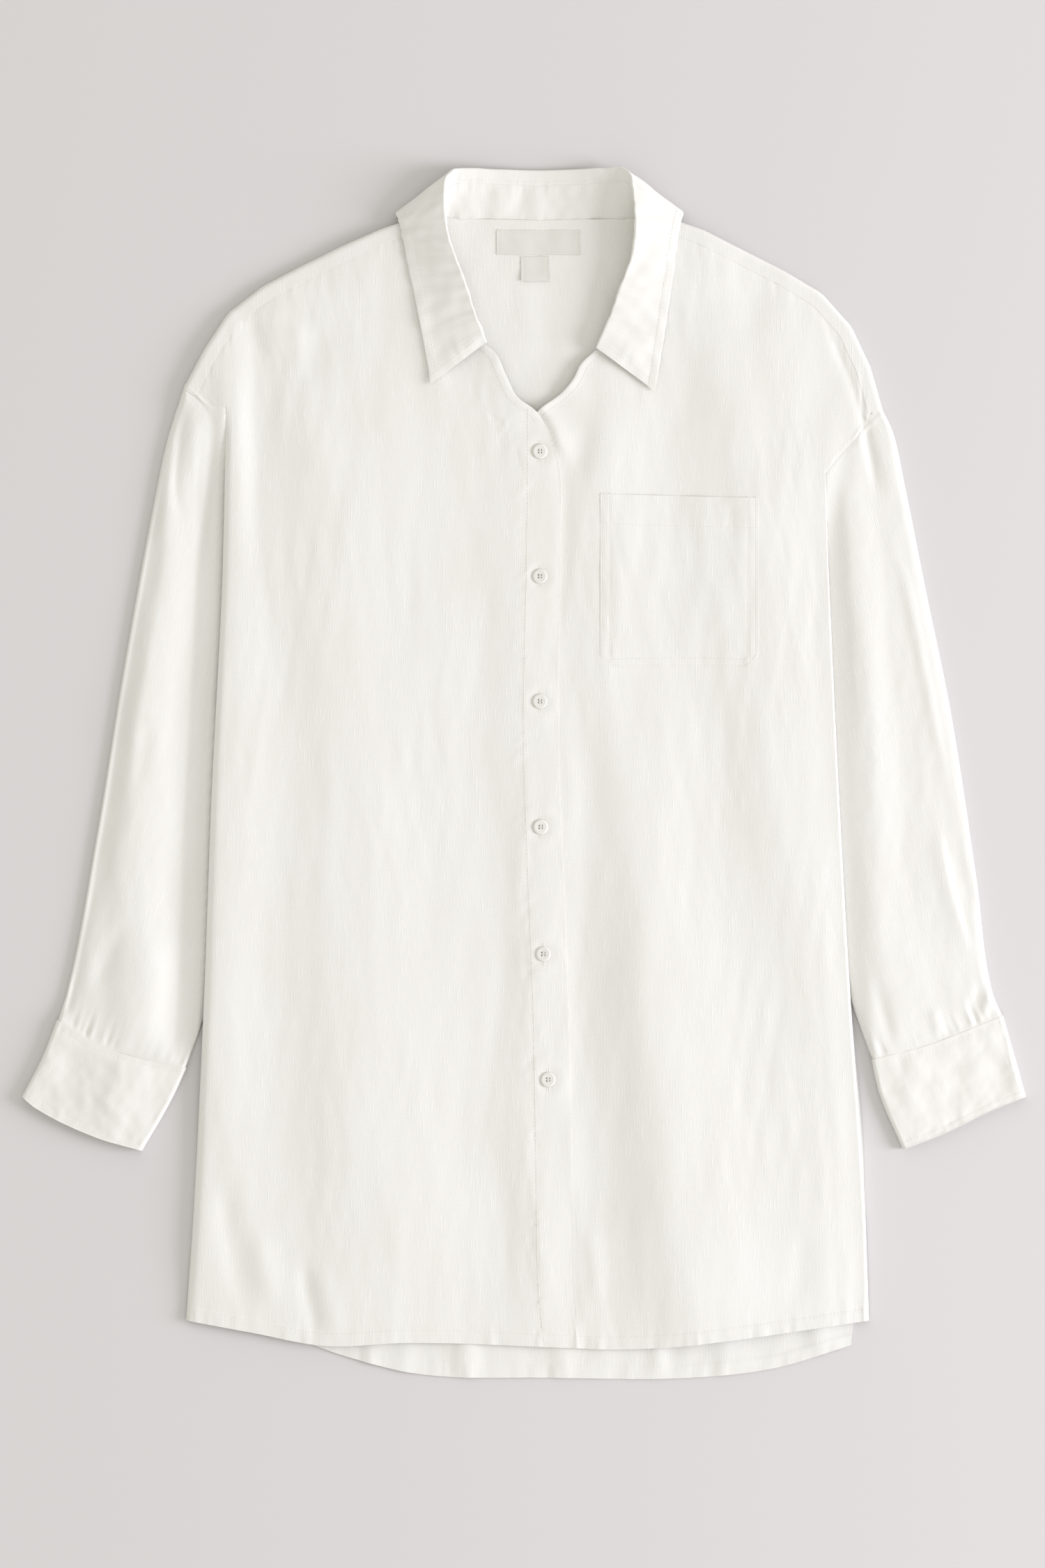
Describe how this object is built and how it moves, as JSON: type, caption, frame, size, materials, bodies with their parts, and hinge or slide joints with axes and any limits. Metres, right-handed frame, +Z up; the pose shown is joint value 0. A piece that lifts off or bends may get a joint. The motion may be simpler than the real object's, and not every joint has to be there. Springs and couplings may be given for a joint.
{
  "type": "long shirt",
  "caption": "Long button-front linen shirt with a folded collar, chest pocket and cuffed long sleeves, laid flat on its back.",
  "frame": {"origin": "centre of the bounding box's base, on the surface that the shirt lies on", "axes": "+Y from the hem to the collar, +X to the wearer's left, +Z up off the surface"},
  "size_m": [0.7395, 0.8928, 0.0211],
  "materials": {
    "linen": "plain-woven linen, off-white, matt, softly washed",
    "linen_double": "two layers of the same linen, off-white, matt",
    "label_tape": "bare woven tape, off-white",
    "button_shell": "off-white shell-like button, soft gloss"
  },
  "bodies": {
    "root": {"back": "linen", "front_over": "linen", "front_under": "linen", "sleeve_over_side": "linen", "sleeve_under_side": "linen", "cuff_over_side": "linen_double", "cuff_under_side": "linen_double", "collar_stand": "linen_double", "collar_leaf": "linen_double", "pocket": "linen", "neck_label": "label_tape", "size_label": "label_tape", "button_1": "button_shell", "button_2": "button_shell", "button_3": "button_shell", "button_4": "button_shell", "button_5": "button_shell", "button_6": "button_shell"}
  },
  "joints": []
}
